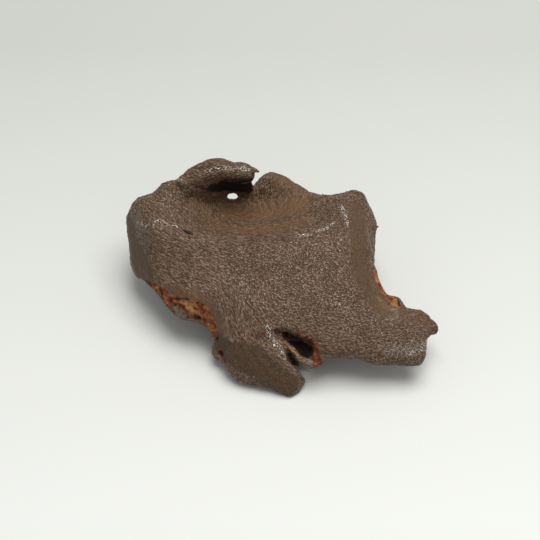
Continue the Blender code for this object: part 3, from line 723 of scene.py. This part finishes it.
tone = sums("ADD", grain_swing, 0.5)
tone = sums("MULTIPLY_ADD", sums("SUBTRACT", fine_height, 0.5), 0.5, tone)
face = colours(tone, [(0.15, HOLLOW_BROWN), (0.5, CRUST_BROWN), (0.9, TOP_BROWN)])
clouds = colours(mottle(CLOUD_SIZE, 3.0), [(0.35, CLOUD_DARK), (0.65, CLOUD_LIGHT)])
face = blend(CLOUD_SHARE, face, clouds, "MULTIPLY")
face = blend(sums("MULTIPLY", kept_value("brown"), BROWN_SHARE), face, WARM_BROWN)
pocks = eased(mottle(POCK_SIZE, 2.0, 0.6), 0.56, 0.66)
pocks = sums("MULTIPLY", pocks, sums("MULTIPLY_ADD", grain_of, 0.4, 0.2))
face = blend(pocks, face, POCK_BROWN)
face = blend(sums("MULTIPLY", kept_value("pale"), PALE_SHARE), face, FOLD_PALE)

rust_break = sums("MULTIPLY", sums("SUBTRACT", mottle(RUST_PATCH, 5.0, 0.65), 0.5), 0.8)
rust_share = eased(sums("ADD", kept_value("rust"), rust_break), 0.25, 0.6)
rust_hue = sums("MULTIPLY_ADD", sums("SUBTRACT", 0.5, red_of), RED_SHIFT, mottle(RUST_MOTTLE, 6.0, 0.7))
stained = blend(eased(red_of, 0.55, 1.0), face, RED_STAIN)
rusted = blend(rust_share, stained, colours(rust_hue, RUST_COLOURS))
# Blackening from soot and black oxide, and painted shade in holes, hollows and on faces turned from the
# lamp.
soot_and_shade_share = eased(kept_value("soot_and_shade"), 0.1, 0.8)
sooted_and_shaded = blend(sums("MULTIPLY", soot_and_shade_share, SOOT_AND_SHADE_COVERS), rusted, SOOT_AND_SHADE_BLACK)

fleck_spots = mottle(FLECK_SIZE, 2.0)
fleck = sums("MULTIPLY", kept_value("bare"), eased(fleck_spots, 0.50, 0.58))
glint = sums("MULTIPLY", sums("MULTIPLY", grain_of, GLINT_SHARE), eased(fleck_spots, 0.60, 0.68))
fleck = sums("MAXIMUM", fleck, sums("MULTIPLY", glint, grain_height), clamp=True)
fleck = sums("MULTIPLY", fleck, sums("SUBTRACT", 1.0, soot_and_shade_share), clamp=True)
fed(shader.inputs["Base Color"], blend(fleck, sooted_and_shaded, BARE_IRON))
fed(shader.inputs["Metallic"], sums("MULTIPLY", fleck, FLECK_METAL))
dullness = sums("MULTIPLY_ADD", rust_share, RUST_DULLS, SATIN)
dullness = sums("MULTIPLY_ADD", fleck, FLECK_SHINES, dullness)
fed(shader.inputs["Roughness"], sums("MULTIPLY_ADD", soot_and_shade_share, SOOT_AND_SHADE_DULLS, dullness, clamp=True))
shader.inputs["Specular IOR Level"].default_value = CRUST_SPECULAR

crumbs = sums("MULTIPLY", rust_share, mottle(RUST_CRUMB, 4.0, 0.7))
relief_height = sums("MULTIPLY_ADD", fine_height, FINE_BUMPS, grain_swing)
relief_height = sums("MULTIPLY_ADD", crumbs, CRUMB_BUMPS, relief_height)
bump = new_node("ShaderNodeBump")
bump.inputs["Strength"].default_value = 1.0
bump.inputs["Distance"].default_value = BUMP_HEIGHT
fed(bump.inputs["Height"], relief_height)
fed(shader.inputs["Normal"], bump.outputs["Normal"])
iron.data.materials.clear()
iron.data.materials.append(crust)

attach(iron, "root")
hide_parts("meteorite")

# The table is plain white card, and stands for whatever the find is laid on. Its colour is
# painted greyer towards the back, as painted shade.
CARD_FRONT = (0.80, 0.81, 0.775, 1)
CARD_BACK_SHADE = (0.57, 0.58, 0.545, 1)
CARD_FRONT_AT = -0.06
CARD_BACK_AT = 0.10
CARD_ROUGHNESS = 0.9
CARD_SPECULAR = 0.1
TABLE_WIDTH = 3
bpy.ops.mesh.primitive_plane_add(size=TABLE_WIDTH)
table = bpy.context.object
table.name = "table"
card = bpy.data.materials.new("white_card")
card.use_nodes = True
card_tree = card.node_tree
card_look = card_tree.nodes["Principled BSDF"].inputs
card_place = card_tree.nodes.new("ShaderNodeTexCoord")
card_axes = card_tree.nodes.new("ShaderNodeSeparateXYZ")
card_depth = card_tree.nodes.new("ShaderNodeMapRange")
card_depth.inputs["From Min"].default_value = CARD_FRONT_AT
card_depth.inputs["From Max"].default_value = CARD_BACK_AT
# Painted shade: the card darkens from front to back.
card_shade_tint = card_tree.nodes.new("ShaderNodeValToRGB")
card_shade_tint.color_ramp.elements[0].color = CARD_FRONT
card_shade_tint.color_ramp.elements[1].color = CARD_BACK_SHADE
card_tree.links.new(card_place.outputs["Object"], card_axes.inputs["Vector"])
card_tree.links.new(card_axes.outputs["Y"], card_depth.inputs["Value"])
card_tree.links.new(card_depth.outputs["Result"], card_shade_tint.inputs["Fac"])
card_tree.links.new(card_shade_tint.outputs["Color"], card_look["Base Color"])
card_look["Roughness"].default_value = CARD_ROUGHNESS
card_look["Specular IOR Level"].default_value = CARD_SPECULAR
table.data.materials.append(card)

# The light is one wide soft lamp high above, to the right and a little behind, with weak light
# from all round.
LAMP_PLACE = Vector((0.10, 0.04, 0.58))
LAMP_WIDTH = 0.42
LAMP_POWER = 3.2
LAMP_WHITE = (1.0, 0.995, 0.98)
ROOM_WHITE = (0.97, 0.98, 1.0, 1)
ROOM_LIGHT = 0.41

room = bpy.data.worlds.new("room_light")
bpy.context.scene.world = room
room.use_nodes = True
room_look = room.node_tree.nodes["Background"].inputs
room_look["Color"].default_value = ROOM_WHITE
room_look["Strength"].default_value = ROOM_LIGHT
lamp = bpy.data.lights.new("overhead", "AREA")
lamp.size = LAMP_WIDTH
lamp.energy = LAMP_POWER
lamp.color = LAMP_WHITE
overhead = bpy.data.objects.new("overhead", lamp)
bpy.context.scene.collection.objects.link(overhead)
overhead.location = LAMP_PLACE
overhead.rotation_euler = (VIEW_CENTRE - LAMP_PLACE).to_track_quat("-Z", "Y").to_euler()
bpy.context.scene.view_settings.view_transform = "Standard"
